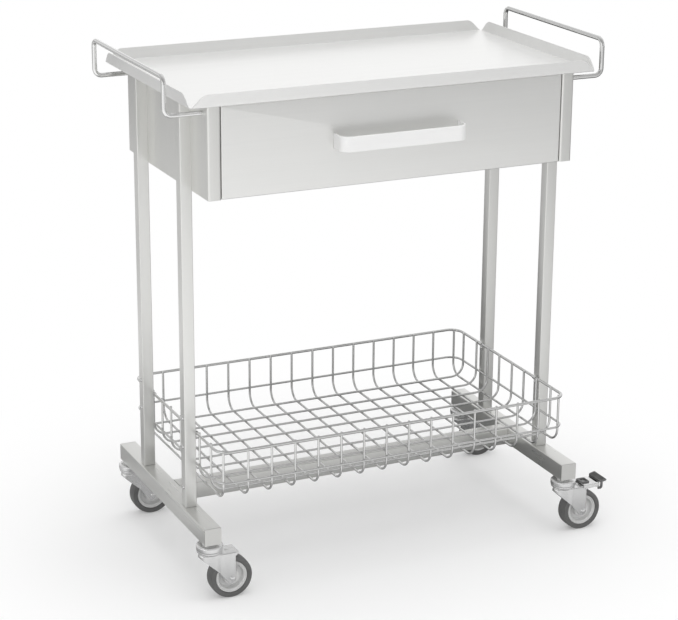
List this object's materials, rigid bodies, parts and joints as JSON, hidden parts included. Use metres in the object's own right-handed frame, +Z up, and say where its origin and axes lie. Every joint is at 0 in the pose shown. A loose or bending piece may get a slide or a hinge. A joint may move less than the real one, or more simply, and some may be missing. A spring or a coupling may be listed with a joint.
{
  "type": "ward trolley",
  "caption": "Steel ward trolley: rimmed worktop over a wide drawer, push handles, open wire basket below, swivel casters, one with a foot brake.",
  "frame": {"origin": "on the floor, below the middle of the whole trolley's box", "axes": "+Z up; the drawer faces -Y; +X towards the side with the braked caster"},
  "size_m": [0.8282, 0.4406, 0.9],
  "materials": {
    "steel": "brushed stainless sheet and tube",
    "bright_steel": "polished stainless rod, clips and screws",
    "wire": "electropolished wire",
    "pull": "pale satin strip",
    "zinc": "bright zinc plating",
    "hub": "grey moulded plastic",
    "tyre": "grey non-marking rubber",
    "pedal": "dark grey moulded plastic"
  },
  "bodies": {
    "frame": {"worktop": "steel", "left_side_panel": "steel", "right_side_panel": "steel", "back_panel": "steel", "left_handle": "bright_steel", "right_handle": "bright_steel", "left_front_leg": "steel", "left_rear_leg": "steel", "right_front_leg": "steel", "right_rear_leg": "steel", "left_foot": "steel", "right_foot": "steel", "left_foot_front_cap": "steel", "left_foot_rear_cap": "steel", "right_foot_front_cap": "steel", "right_foot_rear_cap": "steel", "cross_beam": "steel", "basket": "wire", "left_front_clip": "bright_steel", "left_front_clip_screw": "bright_steel", "left_rear_clip": "bright_steel", "left_rear_clip_screw": "bright_steel", "right_front_clip": "bright_steel", "right_front_clip_screw": "bright_steel", "right_rear_clip": "bright_steel", "right_rear_clip_screw": "bright_steel", "slide_outer_left": "zinc", "slide_outer_right": "zinc", "front_left_caster_mount": "zinc", "front_right_caster_mount": "zinc", "rear_left_caster_mount": "zinc", "rear_right_caster_mount": "zinc"},
    "drawer": {"drawer_front": "steel", "drawer_tray": "steel", "drawer_pull": "pull", "slide_inner_left": "zinc", "slide_inner_right": "zinc"},
    "slide_left": {"slide_middle_left": "zinc"},
    "slide_right": {"slide_middle_right": "zinc"},
    "front_left_fork_body": {"front_left_fork": "zinc", "front_left_axle": "zinc"},
    "front_left_wheel_body": {"front_left_hub": "hub", "front_left_tyre": "tyre"},
    "front_right_fork_body": {"front_right_fork": "zinc", "front_right_axle": "zinc", "brake_pin": "zinc"},
    "front_right_wheel_body": {"front_right_hub": "hub", "front_right_tyre": "tyre"},
    "rear_left_fork_body": {"rear_left_fork": "zinc", "rear_left_axle": "zinc"},
    "rear_left_wheel_body": {"rear_left_hub": "hub", "rear_left_tyre": "tyre"},
    "rear_right_fork_body": {"rear_right_fork": "zinc", "rear_right_axle": "zinc"},
    "rear_right_wheel_body": {"rear_right_hub": "hub", "rear_right_tyre": "tyre"},
    "brake": {"brake_lever": "zinc", "brake_pedal": "pedal", "brake_tab": "pedal"}
  },
  "joints": [
    {"name": "drawer_slide", "type": "slide", "parent": "frame", "child": "drawer", "axis": [0, -1, 0], "range_m": [0, 0.29]},
    {"name": "left_middle_slide", "type": "slide", "parent": "frame", "child": "slide_left", "axis": [0, -1, 0], "range_m": [0, 0.145]},
    {"name": "right_middle_slide", "type": "slide", "parent": "frame", "child": "slide_right", "axis": [0, -1, 0], "range_m": [0, 0.145]},
    {"name": "front_left_swivel", "type": "hinge", "parent": "frame", "child": "front_left_fork_body", "pos_m": [-0.35393, -0.19105, 0.105], "axis": [0, 0, 1], "continuous": true},
    {"name": "front_left_roll", "type": "hinge", "parent": "front_left_fork_body", "child": "front_left_wheel_body", "pos_m": [-0.31863, -0.19105, 0.0375], "axis": [0, 1, 0], "continuous": true},
    {"name": "front_right_swivel", "type": "hinge", "parent": "frame", "child": "front_right_fork_body", "pos_m": [0.33467, -0.19105, 0.105], "axis": [0, 0, 1], "continuous": true},
    {"name": "front_right_roll", "type": "hinge", "parent": "front_right_fork_body", "child": "front_right_wheel_body", "pos_m": [0.36997, -0.19105, 0.0375], "axis": [0, 1, 0], "continuous": true},
    {"name": "rear_left_swivel", "type": "hinge", "parent": "frame", "child": "rear_left_fork_body", "pos_m": [-0.35393, 0.19735, 0.105], "axis": [0, 0, 1], "continuous": true},
    {"name": "rear_left_roll", "type": "hinge", "parent": "rear_left_fork_body", "child": "rear_left_wheel_body", "pos_m": [-0.31863, 0.19735, 0.0375], "axis": [0, 1, 0], "continuous": true},
    {"name": "rear_right_swivel", "type": "hinge", "parent": "frame", "child": "rear_right_fork_body", "pos_m": [0.33467, 0.19735, 0.105], "axis": [0, 0, 1], "continuous": true},
    {"name": "rear_right_roll", "type": "hinge", "parent": "rear_right_fork_body", "child": "rear_right_wheel_body", "pos_m": [0.36997, 0.19735, 0.0375], "axis": [0, 1, 0], "continuous": true},
    {"name": "brake_press", "type": "hinge", "parent": "front_right_fork_body", "child": "brake", "pos_m": [0.37367, -0.19105, 0.081], "axis": [0, 1, 0], "range_deg": [0, 9]}
  ],
  "couplings": [
    {"joint": "left_middle_slide", "follows": "drawer_slide", "ratio": 0.5},
    {"joint": "right_middle_slide", "follows": "drawer_slide", "ratio": 0.5}
  ]
}
